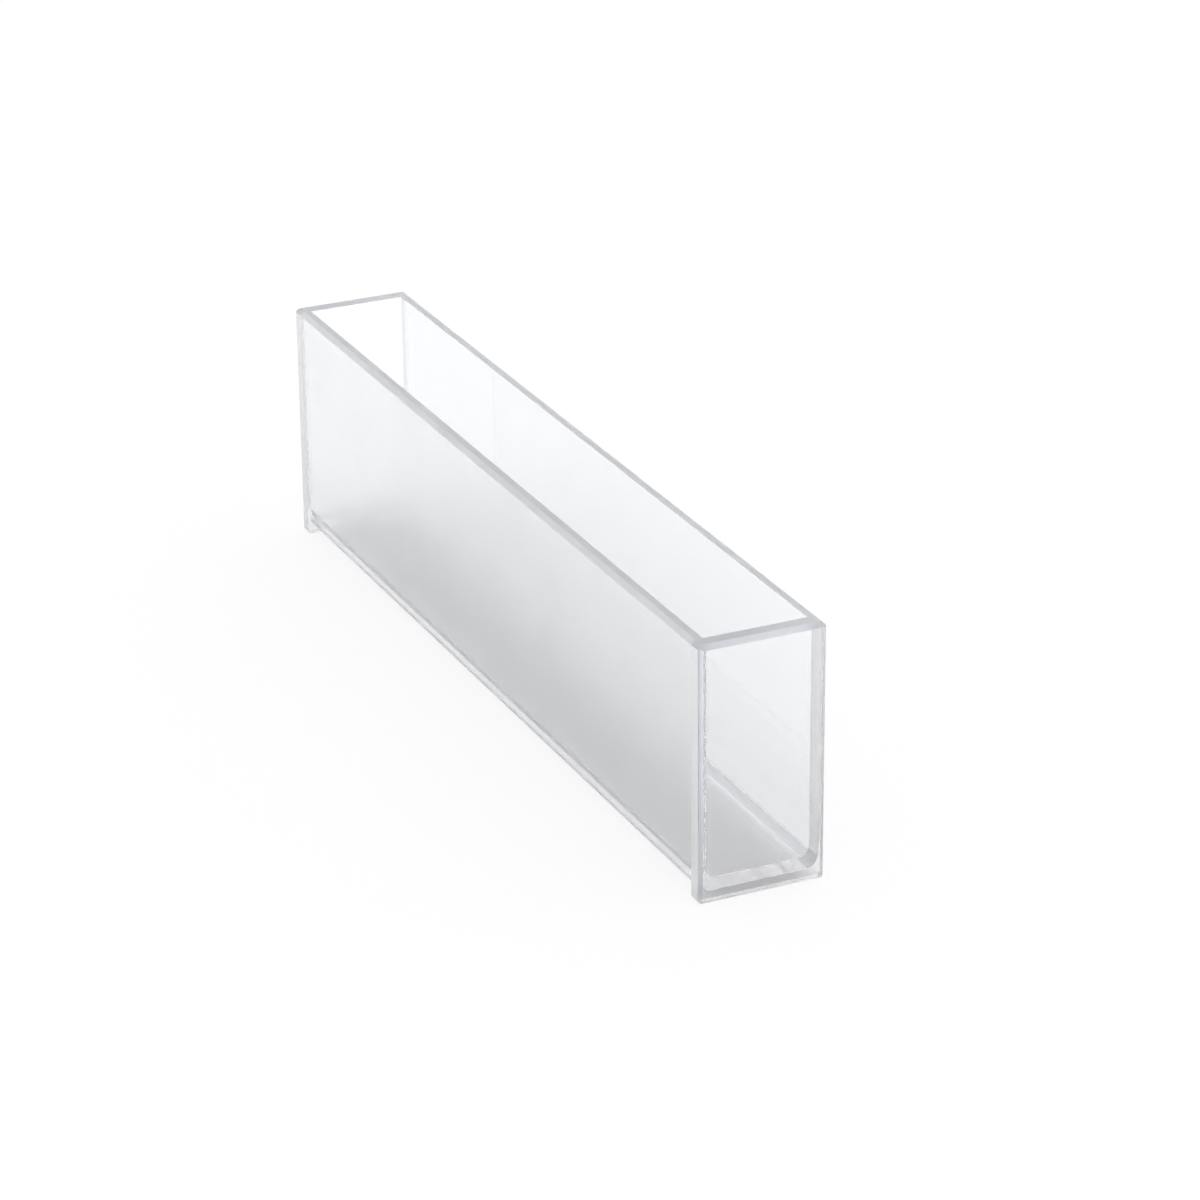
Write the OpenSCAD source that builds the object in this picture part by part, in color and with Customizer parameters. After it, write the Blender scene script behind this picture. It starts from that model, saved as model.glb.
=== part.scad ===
// Long-path glass cuvette: an open rectangular cell for looking lengthwise through a liquid.
// A U-shaped trough is closed at each end by a polished window that is fused on.
// The fused blank is then ground: its long sides and rim lie flush, and its outer edges are bevelled.
// The windows reach below the trough, so their lower edges are the cell's feet.
// X is the light path, Y the width and Z up. The origin is on the bench, under the middle of the cell.

/* [Light path] */
// Distance between the inner faces of the two windows: five and a quarter inches
path_length = 133.35; // [40:0.05:160]
// Thickness of each end window
window_thickness = 2.4; // [1.5:0.1:4]

/* [Section] */
// Width over the ground long sides
cell_width = 17.9; // [14:0.1:40]
// Height from the bench to the rim
cell_height = 36; // [25:0.1:60]
// Thickness of a side wall
wall_thickness = 1.6; // [1.2:0.05:3]
// Thickness of the floor
floor_thickness = 1.85; // [1.2:0.05:3]
// Clearance between the bench and the underside of the trough
foot_height = 1.05; // [0.5:0.05:3]

/* [Rounded edges of the trough] */
// Radius of the outer lower edges
outer_radius = 1.8; // [1:0.1:4]
// Radius of the inner lower edges
inner_radius = 1.4; // [0.8:0.1:2.5]
// How far a side has drawn in where the outer lower edge starts
draw_in = 0.25; // [0.1:0.05:0.6]
// Height over which a side draws in, above the outer lower edge
draw_height = 5; // [3:0.5:15]

/* [Bevels] */
// Bevel along the rim of the long sides
side_bevel = 0.6; // [0.2:0.05:1]
// Bevel along the rim of the windows
end_bevel = 0.65; // [0.2:0.05:1.2]
// Bevel down the upright outer edges of the windows
corner_bevel = 0.5; // [0.2:0.05:1]
// Bevel along the lower outer edges of the windows
foot_bevel = 0.35; // [0.1:0.05:0.6]

/* [Hidden] */

$fn = 96;
DRAW_FLATS = 8;    // flats that stand for the gentle curve of a drawn-in side
CUT_OVER = 1;      // how far a cut runs past the face that it opens
HAIR = 0.0005;     // how far a corner arc stands proud, so that it crosses its flats in clean lines

cell_length = path_length + 2 * window_thickness;
side_y = cell_width / 2;
inner_y = side_y - wall_thickness;
floor_z = foot_height + floor_thickness;

// The outer lower edge is an arc about edge_y, edge_z. Above it a very large arc, tangent to it
// and to the flat side, moves the side in by draw_in over draw_height.
edge_y = side_y - draw_in - outer_radius;
edge_z = foot_height + outer_radius;
draw_angle = 2 * atan(draw_in / draw_height);
draw_radius = outer_radius + draw_height / sin(draw_angle);
draw_top = edge_z + draw_height;
draw_step = draw_angle / DRAW_FLATS;

// Where two neighbouring flats of the drawn-in side meet. Each flat is tangent to the curve.
function flats_meet(angle) =
    let (reach = draw_radius / cos(draw_step / 2))
    [side_y - draw_radius + reach * cos(angle), draw_top - reach * sin(angle)];

// Closes an outline that is the same on both sides, from the points of its right side
function both_sides(right) = concat(
    right,
    [for (i = [len(right) - 1 : -1 : 0]) [-right[i][0], right[i][1]]]
);

// A sheet that stands on the first axis, centred on it, with its four corners bevelled
module bevelled_sheet(width, height, top_bevel, bottom_bevel) {
    half = width / 2;
    polygon(both_sides([
        [half - bottom_bevel, 0],
        [half, bottom_bevel],
        [half, height - top_bevel],
        [half - top_bevel, height]
    ]));
}

// Extrudes a section drawn in Y and Z along X, centred
module along_x(length) {
    rotate([90, 0, 90])
        linear_extrude(height = length, center = true)
            children();
}

// Extrudes a section drawn in X and Z along Y, centred
module along_y(length) {
    rotate([90, 0, 0])
        linear_extrude(height = length, center = true)
            children();
}

// The outside of the whole cell as it is ground after fusing, with every outer edge bevelled
module ground_block() {
    intersection() {
        along_x(cell_length)
            bevelled_sheet(cell_width, cell_height, side_bevel, foot_bevel);
        along_y(cell_width)
            bevelled_sheet(cell_length, cell_height, end_bevel, foot_bevel);
        translate([0, -side_y, 0])
            linear_extrude(height = cell_height)
                bevelled_sheet(cell_length, cell_width, corner_bevel, corner_bevel);
    }
}

// What is cut from both lower corners of a section, so that each is left as an arc about [y, z].
// The arc starts where the side leans in by the given angle, and ends at the bottom.
module lower_corners(y, z, radius, angle) {
    reach = 2 * radius;
    for (hand = [0, 1])
        mirror([hand, 0])
            translate([y, z])
                difference() {
                    polygon([
                        [0, 0],
                        [reach * cos(angle), -reach * sin(angle)],
                        [reach, -reach],
                        [0, -reach]
                    ]);
                    circle(radius + HAIR);
                }
}

// Outer section of the trough: flat sides that draw in towards rounded lower edges
module trough_outline() {
    drawn_side = [for (i = [1 : DRAW_FLATS]) flats_meet((i - 0.5) * draw_step)];
    end = drawn_side[DRAW_FLATS - 1];
    bottom_y = end[0] - (end[1] - foot_height) * tan(draw_angle);
    difference() {
        polygon(both_sides(concat(
            [[side_y, cell_height]],
            drawn_side,
            [[bottom_y, foot_height]]
        )));
        lower_corners(edge_y, edge_z, outer_radius, draw_angle);
    }
}

// Section of the space for the sample, open at the top
module cavity_outline() {
    difference() {
        translate([-inner_y, floor_z])
            square([2 * inner_y, cell_height - floor_z + CUT_OVER]);
        lower_corners(inner_y - inner_radius, floor_z + inner_radius, inner_radius, 0);
    }
}

// The U-shaped body between the windows
module trough() {
    color([0.87, 0.88, 0.89, 0.75])
        difference() {
            intersection() {
                ground_block();
                along_x(path_length)
                    trough_outline();
            }
            along_x(path_length + 2 * CUT_OVER)
                cavity_outline();
        }
}

// A flat plate over the whole end of the cell, from the bench to the rim
module end_window() {
    color([0.93, 0.95, 0.96, 0.4])
        intersection() {
            ground_block();
            translate([path_length / 2, -side_y, 0])
                cube([window_thickness, cell_width, cell_height]);
        }
}

module front_window() {
    end_window();
}

module rear_window() {
    mirror([1, 0, 0])
        end_window();
}

trough();
front_window();
rear_window();
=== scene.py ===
import math
import bpy
from mathutils import Matrix, Vector


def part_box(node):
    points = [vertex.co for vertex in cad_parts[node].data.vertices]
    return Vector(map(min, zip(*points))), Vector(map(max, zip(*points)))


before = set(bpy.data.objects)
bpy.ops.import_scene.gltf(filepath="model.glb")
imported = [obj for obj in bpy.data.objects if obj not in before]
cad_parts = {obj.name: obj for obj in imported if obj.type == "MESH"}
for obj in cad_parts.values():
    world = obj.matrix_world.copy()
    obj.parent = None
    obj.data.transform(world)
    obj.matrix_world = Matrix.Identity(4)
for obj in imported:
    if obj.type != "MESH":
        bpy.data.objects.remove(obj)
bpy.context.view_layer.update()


# ---- Camera -------------------------------------------------------------------------------------
# It looks down at the front window, a little from one side, so that the long left wall recedes
# behind it. A long lens from 0.6 m away keeps the cell's long edges close to parallel.
MM = 0.001
VIEW_AZIMUTH = math.radians(65.284)
VIEW_ELEVATION = math.radians(23.642)
VIEW_ROLL = math.radians(-0.507)
VIEW_DISTANCE = 603.8 * MM
LOOK_AT = Vector((0, 0, 20 * MM))
SLIDE_RIGHT = 8.52 * MM
SLIDE_UP = -5.94 * MM

backward = Vector((
    math.sin(VIEW_AZIMUTH) * math.cos(VIEW_ELEVATION),
    -math.cos(VIEW_AZIMUTH) * math.cos(VIEW_ELEVATION),
    math.sin(VIEW_ELEVATION),
))
level = Vector((math.cos(VIEW_AZIMUTH), math.sin(VIEW_AZIMUTH), 0))
upright = backward.cross(level)
right = math.cos(VIEW_ROLL) * level + math.sin(VIEW_ROLL) * upright
up = math.cos(VIEW_ROLL) * upright - math.sin(VIEW_ROLL) * level

scene = bpy.context.scene
camera_data = bpy.data.cameras.new("camera")
camera_data.sensor_width = 36
camera_data.lens = 130.07
camera_data.clip_start = 0.01
camera_data.clip_end = 50
camera = bpy.data.objects.new("camera", camera_data)
scene.collection.objects.link(camera)
stand = Matrix((right, up, backward)).transposed().to_4x4()
stand.translation = LOOK_AT + VIEW_DISTANCE * backward + SLIDE_RIGHT * right + SLIDE_UP * up
camera.matrix_world = stand
scene.camera = camera


# ---- Bench --------------------------------------------------------------------------------------
# A wide board of matt white laminate. The glass sees it as it is lit, with the cell's shadow on it.
# Seen directly it is most of the way to plain white, which leaves a faint trace of that shadow.
BENCH_WHITE = "f1f2f4"
BENCH_REACH = 3.0        # m from the middle to each edge, so that its edges are out of sight
BENCH_WASHED_OUT = 0.85  # how far the way to plain white goes
SEAT_GAP = 0.03 * MM     # the feet's ground edges touch the board only on their high spots


def linear(hex_colour):
    """An sRGB hex colour as the linear colour that a shader's socket takes."""
    channels = []
    for start in (0, 2, 4):
        value = int(hex_colour[start:start + 2], 16) / 255
        channels.append(value / 12.92 if value <= 0.04045 else ((value + 0.055) / 1.055) ** 2.4)
    return (*channels, 1.0)


def add_node(tree, kind, inputs=None, **settings):
    """Adds one node. An input, by its name or number, takes a value or another node's output."""
    node = tree.nodes.new("ShaderNode" + kind)
    for name, value in settings.items():
        setattr(node, name, value)
    for socket, value in (inputs or {}).items():
        if isinstance(value, bpy.types.NodeSocket):
            tree.links.new(value, node.inputs[socket])
        else:
            node.inputs[socket].default_value = value
    return node


def empty_material(name):
    """A new material without nodes, and its node tree."""
    material = bpy.data.materials.new(name)
    material.use_nodes = True
    material.node_tree.nodes.clear()
    return material, material.node_tree


bench_mesh = bpy.data.meshes.new("bench_top")
bench_corners = [
    (x * BENCH_REACH, y * BENCH_REACH, -SEAT_GAP)
    for x, y in ((-1, -1), (1, -1), (1, 1), (-1, 1))
]
bench_mesh.from_pydata(bench_corners, [], [(0, 1, 2, 3)])
bench = bpy.data.objects.new("bench_top", bench_mesh)
scene.collection.objects.link(bench)

matt_white_laminate, tree = empty_material("matt_white_laminate")
rays = add_node(tree, "LightPath")
seen = add_node(tree, "Math", {
    0: rays.outputs["Is Camera Ray"], 1: BENCH_WASHED_OUT,
}, operation="MULTIPLY")
board = add_node(tree, "BsdfPrincipled", {"Base Color": linear(BENCH_WHITE), "Roughness": 0.9})
white = add_node(tree, "Emission", {"Color": (1, 1, 1, 1), "Strength": 1.0})
bench_look = add_node(tree, "MixShader", {
    0: seen.outputs[0], 1: board.outputs[0], 2: white.outputs[0],
})
add_node(tree, "OutputMaterial", {"Surface": bench_look.outputs[0]})
bench_mesh.materials.append(matt_white_laminate)


# ---- Studio light -------------------------------------------------------------------------------
# A white tent all round the bench, lit from outside. The lamps stand beyond the far long side of
# the cell, so that side of the tent is brightest, and the side that the camera is on is dimmest.
TENT_LEVEL = 1.18
TENT_FAR_SIDE = 0.30  # what is added on the far side, and is missing on the near one

white_tent = bpy.data.worlds.new("white_tent")
white_tent.use_nodes = True
scene.world = white_tent
tree = white_tent.node_tree
tree.nodes.clear()
direction = add_node(tree, "TexCoord")
towards = add_node(tree, "SeparateXYZ", {0: direction.outputs["Generated"]})
strength = add_node(tree, "Math", {
    0: towards.outputs["Y"], 1: TENT_FAR_SIDE, 2: TENT_LEVEL,
}, operation="MULTIPLY_ADD")
tent_light = add_node(tree, "Background", {
    "Color": (1, 1, 1, 1), "Strength": strength.outputs[0],
})
tent_seen = add_node(tree, "Background", {"Color": (1, 1, 1, 1), "Strength": 1.0})
rays = add_node(tree, "LightPath")
surroundings = add_node(tree, "MixShader", {
    0: rays.outputs["Is Camera Ray"], 1: tent_light.outputs[0], 2: tent_seen.outputs[0],
})
add_node(tree, "OutputWorld", {"Surface": surroundings.outputs[0]})

# Light is guided a long way in the walls and the floor, and meets many surfaces before it leaves
# them. With fewer bounces the rim and the end of the floor come out too dark.
GUIDED_BOUNCES = 256
MILKY_BOUNCES = 64
scene.cycles.max_bounces = GUIDED_BOUNCES
scene.cycles.transmission_bounces = GUIDED_BOUNCES
scene.cycles.glossy_bounces = GUIDED_BOUNCES
scene.cycles.transparent_max_bounces = GUIDED_BOUNCES
scene.cycles.diffuse_bounces = MILKY_BOUNCES


# ---- Trough -------------------------------------------------------------------------------------
# One U-shaped channel of optical crown glass, formed with rounded lower edges. Inside it is
# polished. Its long sides are lapped to a fine frost once the windows are on, its rim and rounded
# lower edges are ground coarser, and its bevels are rubbed. The underside keeps its formed skin.
CROWN_INDEX = 1.52
NOISE_LOW = 0.3   # most of a noise pattern's values lie between these two
NOISE_HIGH = 0.7


def place_in_mm(tree):
    """Where a point is on its solid, in mm, so that a pattern can have its real size."""
    place = add_node(tree, "TexCoord")
    return add_node(tree, "VectorMath", {
        0: place.outputs["Object"], "Scale": 1 / MM,
    }, operation="SCALE")


# Fine-ground glass: lapped with loose grit. Its pits blur what is behind it, and a part of the
# light is scattered evenly, which gives it its milky look.
GRIT_GRAIN = 0.35     # mm; the real pits are about 0.02 mm, and are drawn coarser so that they show
PIT_RELIEF = 0.0008   # mm
LAP_CLOUD = 14.0      # mm; patches where the lap has bitten a little more or less
GROUND_BLUR = 0.23
GROUND_MILK = 0.08
UNEVENNESS = 0.02     # of the blur and of the milk

fine_ground_glass, tree = empty_material("fine_ground_glass")
in_mm = place_in_mm(tree)
grit = add_node(tree, "TexNoise", {
    "Vector": in_mm.outputs[0], "Scale": 1 / GRIT_GRAIN, "Detail": 2.0,
})
cloud = add_node(tree, "TexNoise", {
    "Vector": in_mm.outputs[0], "Scale": 1 / LAP_CLOUD, "Detail": 3.0,
})
pits = add_node(tree, "MapRange", {
    "Value": grit.outputs["Fac"], "From Min": NOISE_LOW, "From Max": NOISE_HIGH,
    "To Min": GROUND_BLUR - UNEVENNESS, "To Max": GROUND_BLUR,
})
roughness = add_node(tree, "Math", {
    0: cloud.outputs["Fac"], 1: UNEVENNESS, 2: pits.outputs[0],
}, operation="MULTIPLY_ADD")
tint = add_node(tree, "MixRGB", {
    "Fac": cloud.outputs["Fac"], 1: linear("fdfdff"), 2: linear("ffffff"),
})
relief = add_node(tree, "Bump", {
    "Strength": 0.5, "Distance": PIT_RELIEF * MM, "Height": grit.outputs["Fac"],
})
surface = add_node(tree, "BsdfPrincipled", {
    "Base Color": tint.outputs[0], "Roughness": roughness.outputs[0],
    "Normal": relief.outputs[0], "IOR": CROWN_INDEX, "Transmission Weight": 1.0,
})
milk = add_node(tree, "BsdfTranslucent", {"Color": tint.outputs[0]})
milkiness = add_node(tree, "MapRange", {
    "Value": cloud.outputs["Fac"], "From Min": NOISE_LOW, "From Max": NOISE_HIGH,
    "To Min": GROUND_MILK - UNEVENNESS, "To Max": GROUND_MILK + UNEVENNESS,
})
frosted = add_node(tree, "MixShader", {
    0: milkiness.outputs[0], 1: surface.outputs[0], 2: milk.outputs[0],
})
add_node(tree, "OutputMaterial", {"Surface": frosted.outputs[0]})

# Coarse-ground glass: left as the first, coarser grit left it. Its deep pits trap light, and its
# grey-blue base colour is painted shade, so the narrow faces that have it outline the cell in grey.
COARSE_PATCH = 2.5  # mm; patches where the grit has bitten more or less

coarse_ground_glass_painted_shade, tree = empty_material("coarse_ground_glass_painted_shade")
in_mm = place_in_mm(tree)
bite = add_node(tree, "TexNoise", {
    "Vector": in_mm.outputs[0], "Scale": 1 / COARSE_PATCH, "Detail": 3.0,
})
roughness = add_node(tree, "MapRange", {
    "Value": bite.outputs["Fac"], "From Min": NOISE_LOW, "From Max": NOISE_HIGH,
    "To Min": 0.44, "To Max": 0.52,
})
# Painted shade: the grey-blue base colour e5e7ed darkens these faces beyond what their pits trap.
surface = add_node(tree, "BsdfPrincipled", {
    "Base Color": linear("e5e7ed"), "Roughness": roughness.outputs[0],
    "IOR": CROWN_INDEX, "Transmission Weight": 1.0,
})
add_node(tree, "OutputMaterial", {"Surface": surface.outputs[0]})

# Stone-rubbed glass: rubbed by hand with an abrasive stone. Fine chips along the strokes scatter
# light both ways, so these faces look chalky and paler, in streaks that run lengthwise.
STROKE_LENGTH = 6.0  # mm
STROKE_WIDTH = 0.8   # mm; the real strokes are finer, and are drawn this wide so that they show
LET_THROUGH = 0.4    # the share of the scattered light that goes on into the glass

stone_rubbed_glass, tree = empty_material("stone_rubbed_glass")
in_mm = place_in_mm(tree)
along_strokes = add_node(tree, "VectorMath", {
    0: in_mm.outputs[0], 1: (1 / STROKE_LENGTH, 1 / STROKE_WIDTH, 1 / STROKE_WIDTH),
}, operation="MULTIPLY")
strokes = add_node(tree, "TexNoise", {
    "Vector": along_strokes.outputs[0], "Scale": 1.0, "Detail": 3.0,
})
surface = add_node(tree, "BsdfPrincipled", {
    "Base Color": linear("ffffff"), "Roughness": 0.35,
    "IOR": CROWN_INDEX, "Transmission Weight": 1.0,
})
thrown_back = add_node(tree, "BsdfDiffuse", {"Color": linear("fcfcfd")})
let_through = add_node(tree, "BsdfTranslucent", {"Color": linear("fcfcfd")})
chips = add_node(tree, "MixShader", {
    0: LET_THROUGH, 1: thrown_back.outputs[0], 2: let_through.outputs[0],
})
chalkiness = add_node(tree, "MapRange", {
    "Value": strokes.outputs["Fac"], "From Min": NOISE_LOW, "From Max": NOISE_HIGH,
    "To Min": 0.36, "To Max": 0.48,
})
rubbed = add_node(tree, "MixShader", {
    0: chalkiness.outputs[0], 1: surface.outputs[0], 2: chips.outputs[0],
})
add_node(tree, "OutputMaterial", {"Surface": rubbed.outputs[0]})

# Polished glass: clear and mirror-smooth. A rinse film dulls it very slightly in patches, and the
# polisher has left a ripple too shallow to see except in a reflection.
RINSE_FILM = 9.0       # mm; patches of the film
RIPPLE_RELIEF = 0.002  # mm


def rinse_film(tree, in_mm):
    """The pattern of the film that the last rinse left, and the roughness that it gives."""
    film = add_node(tree, "TexNoise", {
        "Vector": in_mm.outputs[0], "Scale": 1 / RINSE_FILM, "Detail": 4.0,
    })
    smear = add_node(tree, "MapRange", {
        "Value": film.outputs["Fac"], "From Min": 0.45, "From Max": 0.75,
        "To Min": 0.0, "To Max": 0.03,
    })
    return film, smear


polished_glass, tree = empty_material("polished_glass")
film, smear = rinse_film(tree, place_in_mm(tree))
ripple = add_node(tree, "Bump", {
    "Strength": 0.5, "Distance": RIPPLE_RELIEF * MM, "Height": film.outputs["Fac"],
})
surface = add_node(tree, "BsdfPrincipled", {
    "Base Color": linear("ffffff"), "Roughness": smear.outputs[0],
    "Normal": ripple.outputs[0], "IOR": CROWN_INDEX, "Transmission Weight": 1.0,
})
add_node(tree, "OutputMaterial", {"Surface": surface.outputs[0]})

# As-formed glass: the satin skin that the mould leaves. It blurs less than the ground sides, so it
# carries light along the floor, and the end of the floor looks light through the window.
SKIN_PATCH = 1.5  # mm; patches where the mould has marked the skin more or less

as_formed_glass, tree = empty_material("as_formed_glass")
in_mm = place_in_mm(tree)
skin = add_node(tree, "TexNoise", {
    "Vector": in_mm.outputs[0], "Scale": 1 / SKIN_PATCH, "Detail": 3.0,
})
satin = add_node(tree, "MapRange", {
    "Value": skin.outputs["Fac"], "From Min": NOISE_LOW, "From Max": NOISE_HIGH,
    "To Min": 0.11, "To Max": 0.13,
})
surface = add_node(tree, "BsdfPrincipled", {
    "Base Color": linear("fdfdff"), "Roughness": satin.outputs[0],
    "IOR": CROWN_INDEX, "Transmission Weight": 1.0,
})
add_node(tree, "OutputMaterial", {"Surface": surface.outputs[0]})

# Fused seam: the ends of the trough have melted into the windows, so the glass has no surface
# there, and the eye looks straight on into it.
fused_seam, tree = empty_material("fused_seam")
joined = add_node(tree, "BsdfTransparent")
add_node(tree, "OutputMaterial", {"Surface": joined.outputs[0]})

# Each face's finish follows from how much of its normal points one way, and from its height.
SQUARELY = 0.99    # an end or an upright side looks straight along its axis by this much
LOOKS_UP = 0.1     # the floor and the bevels look up by more than this, and upright sides by less
RIM_UP = 0.9       # the rim looks up by more than this, and its bevels by less
SIDE_LEAN = 0.15   # a long side looks down by less than this, even where it draws in
FLAT_UNDER = 0.98  # the underside looks down by more than this
RIM_BAND = 1 * MM  # the rim and its bevels lie within this of the top
rim_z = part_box("trough")[1][2]


def dress(node_name, finishes, choose):
    """Gives a solid its finishes. choose names the finish of a face from its centre and normal."""
    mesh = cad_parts[node_name].data
    mesh.materials.clear()
    for finish in finishes.values():
        mesh.materials.append(finish)
    names = list(finishes)
    for face in mesh.polygons:
        face.material_index = names.index(choose(face.center, face.normal))


def trough_finish(centre, normal):
    """Which finish a face of the trough has, from where it is and which way it looks."""
    looks_inwards = normal.y * centre.y < 0 or normal.z > LOOKS_UP
    if abs(normal.x) > SQUARELY:
        return "seam"
    if looks_inwards and centre.z < rim_z - RIM_BAND:
        return "inside"
    if normal.z < -FLAT_UNDER:
        return "underside"
    if normal.z < -SIDE_LEAN or normal.z > RIM_UP:
        return "rim_and_lower_edge"
    return "bevel" if normal.z > LOOKS_UP else "long_side"


dress("trough", {
    "long_side": fine_ground_glass,
    "bevel": stone_rubbed_glass,
    "rim_and_lower_edge": coarse_ground_glass_painted_shade,
    "inside": polished_glass,
    "underside": as_formed_glass,
    "seam": fused_seam,
}, trough_finish)


# ---- End windows --------------------------------------------------------------------------------
# Two flat plates of the same crown glass, polished on both faces and fused over the ends of the
# trough. They reach below it, as feet. Their upright sides are rubbed; their other edges are
# ground coarse, like the rim.

# Inner face of a window: polished glass, apart from the U where the trough is fused to it. There
# the glass runs on without a surface. The U lies between the trough's inner and outer outlines,
# which are worked out in mm from the sizes of its section.
WALL = 1.6           # thickness of a side wall
FLOOR = 1.85         # thickness of the floor
FOOT = 1.05          # from the bench to the underside of the trough
INNER_RADIUS = 1.4   # of the rounded lower edges inside
OUTER_RADIUS = 1.8   # of the rounded lower edges outside
DRAW_IN = 0.25       # how far a side has drawn in where its rounded lower edge starts
DRAW_HEIGHT = 5.0    # the height over which it draws in
side_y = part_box("trough")[1][1] / MM

window_inner_face, tree = empty_material("window_inner_face")
in_mm = place_in_mm(tree)
one_side = add_node(tree, "VectorMath", {0: in_mm.outputs[0]}, operation="ABSOLUTE")
on_face = add_node(tree, "SeparateXYZ", {0: one_side.outputs[0]})


def past_corner(y, z):
    """How far a point lies outwards and downwards of a rounded corner's centre, in mm."""
    outwards = add_node(tree, "Math", {0: on_face.outputs["Y"], 1: y}, operation="SUBTRACT")
    outwards = add_node(tree, "Math", {0: outwards.outputs[0], 1: 0.0}, operation="MAXIMUM")
    downwards = add_node(tree, "Math", {0: z, 1: on_face.outputs["Z"]}, operation="SUBTRACT")
    downwards = add_node(tree, "Math", {0: downwards.outputs[0], 1: 0.0}, operation="MAXIMUM")
    offset = add_node(tree, "CombineXYZ", {"X": outwards.outputs[0], "Y": downwards.outputs[0]})
    return add_node(tree, "VectorMath", {0: offset.outputs[0]}, operation="LENGTH").outputs["Value"]


inner_corner = past_corner(side_y - WALL - INNER_RADIUS, FOOT + FLOOR + INNER_RADIUS)
past_inside = add_node(tree, "Math", {0: inner_corner, 1: INNER_RADIUS}, operation="GREATER_THAN")
outer_corner = past_corner(side_y - DRAW_IN - OUTER_RADIUS, FOOT + OUTER_RADIUS)
drawn = add_node(tree, "MapRange", {
    "Value": on_face.outputs["Z"],
    "From Min": FOOT + OUTER_RADIUS + DRAW_HEIGHT, "From Max": FOOT + OUTER_RADIUS,
    "To Min": 0.0, "To Max": 1.0,
})
eased = add_node(tree, "Math", {0: drawn.outputs[0], 1: drawn.outputs[0]}, operation="MULTIPLY")
reach = add_node(tree, "Math", {
    0: eased.outputs[0], 1: -DRAW_IN, 2: OUTER_RADIUS + DRAW_IN,
}, operation="MULTIPLY_ADD")
short_of_outside = add_node(tree, "Math", {
    0: outer_corner, 1: reach.outputs[0],
}, operation="LESS_THAN")
fused = add_node(tree, "Math", {
    0: past_inside.outputs[0], 1: short_of_outside.outputs[0],
}, operation="MULTIPLY")
_, smear = rinse_film(tree, in_mm)
polish = add_node(tree, "BsdfPrincipled", {
    "Base Color": linear("ffffff"), "Roughness": smear.outputs[0],
    "IOR": CROWN_INDEX, "Transmission Weight": 1.0,
})
joined = add_node(tree, "BsdfTransparent")
face_look = add_node(tree, "MixShader", {
    0: fused.outputs[0], 1: polish.outputs[0], 2: joined.outputs[0],
})
add_node(tree, "OutputMaterial", {"Surface": face_look.outputs[0]})


def window_finish(centre, normal):
    """Which finish a face of a window has, from where it is and which way it looks."""
    if abs(normal.x) > SQUARELY:
        return "inner_face" if normal.x * centre.x < 0 else "outer_face"
    return "side" if abs(normal.y) > SQUARELY else "edge"


for window in ("front_window", "rear_window"):
    dress(window, {
        "side": stone_rubbed_glass,
        "edge": coarse_ground_glass_painted_shade,
        "outer_face": polished_glass,
        "inner_face": window_inner_face,
    }, window_finish)


# ---- Colour view --------------------------------------------------------------------------------
scene.view_settings.view_transform = "Standard"
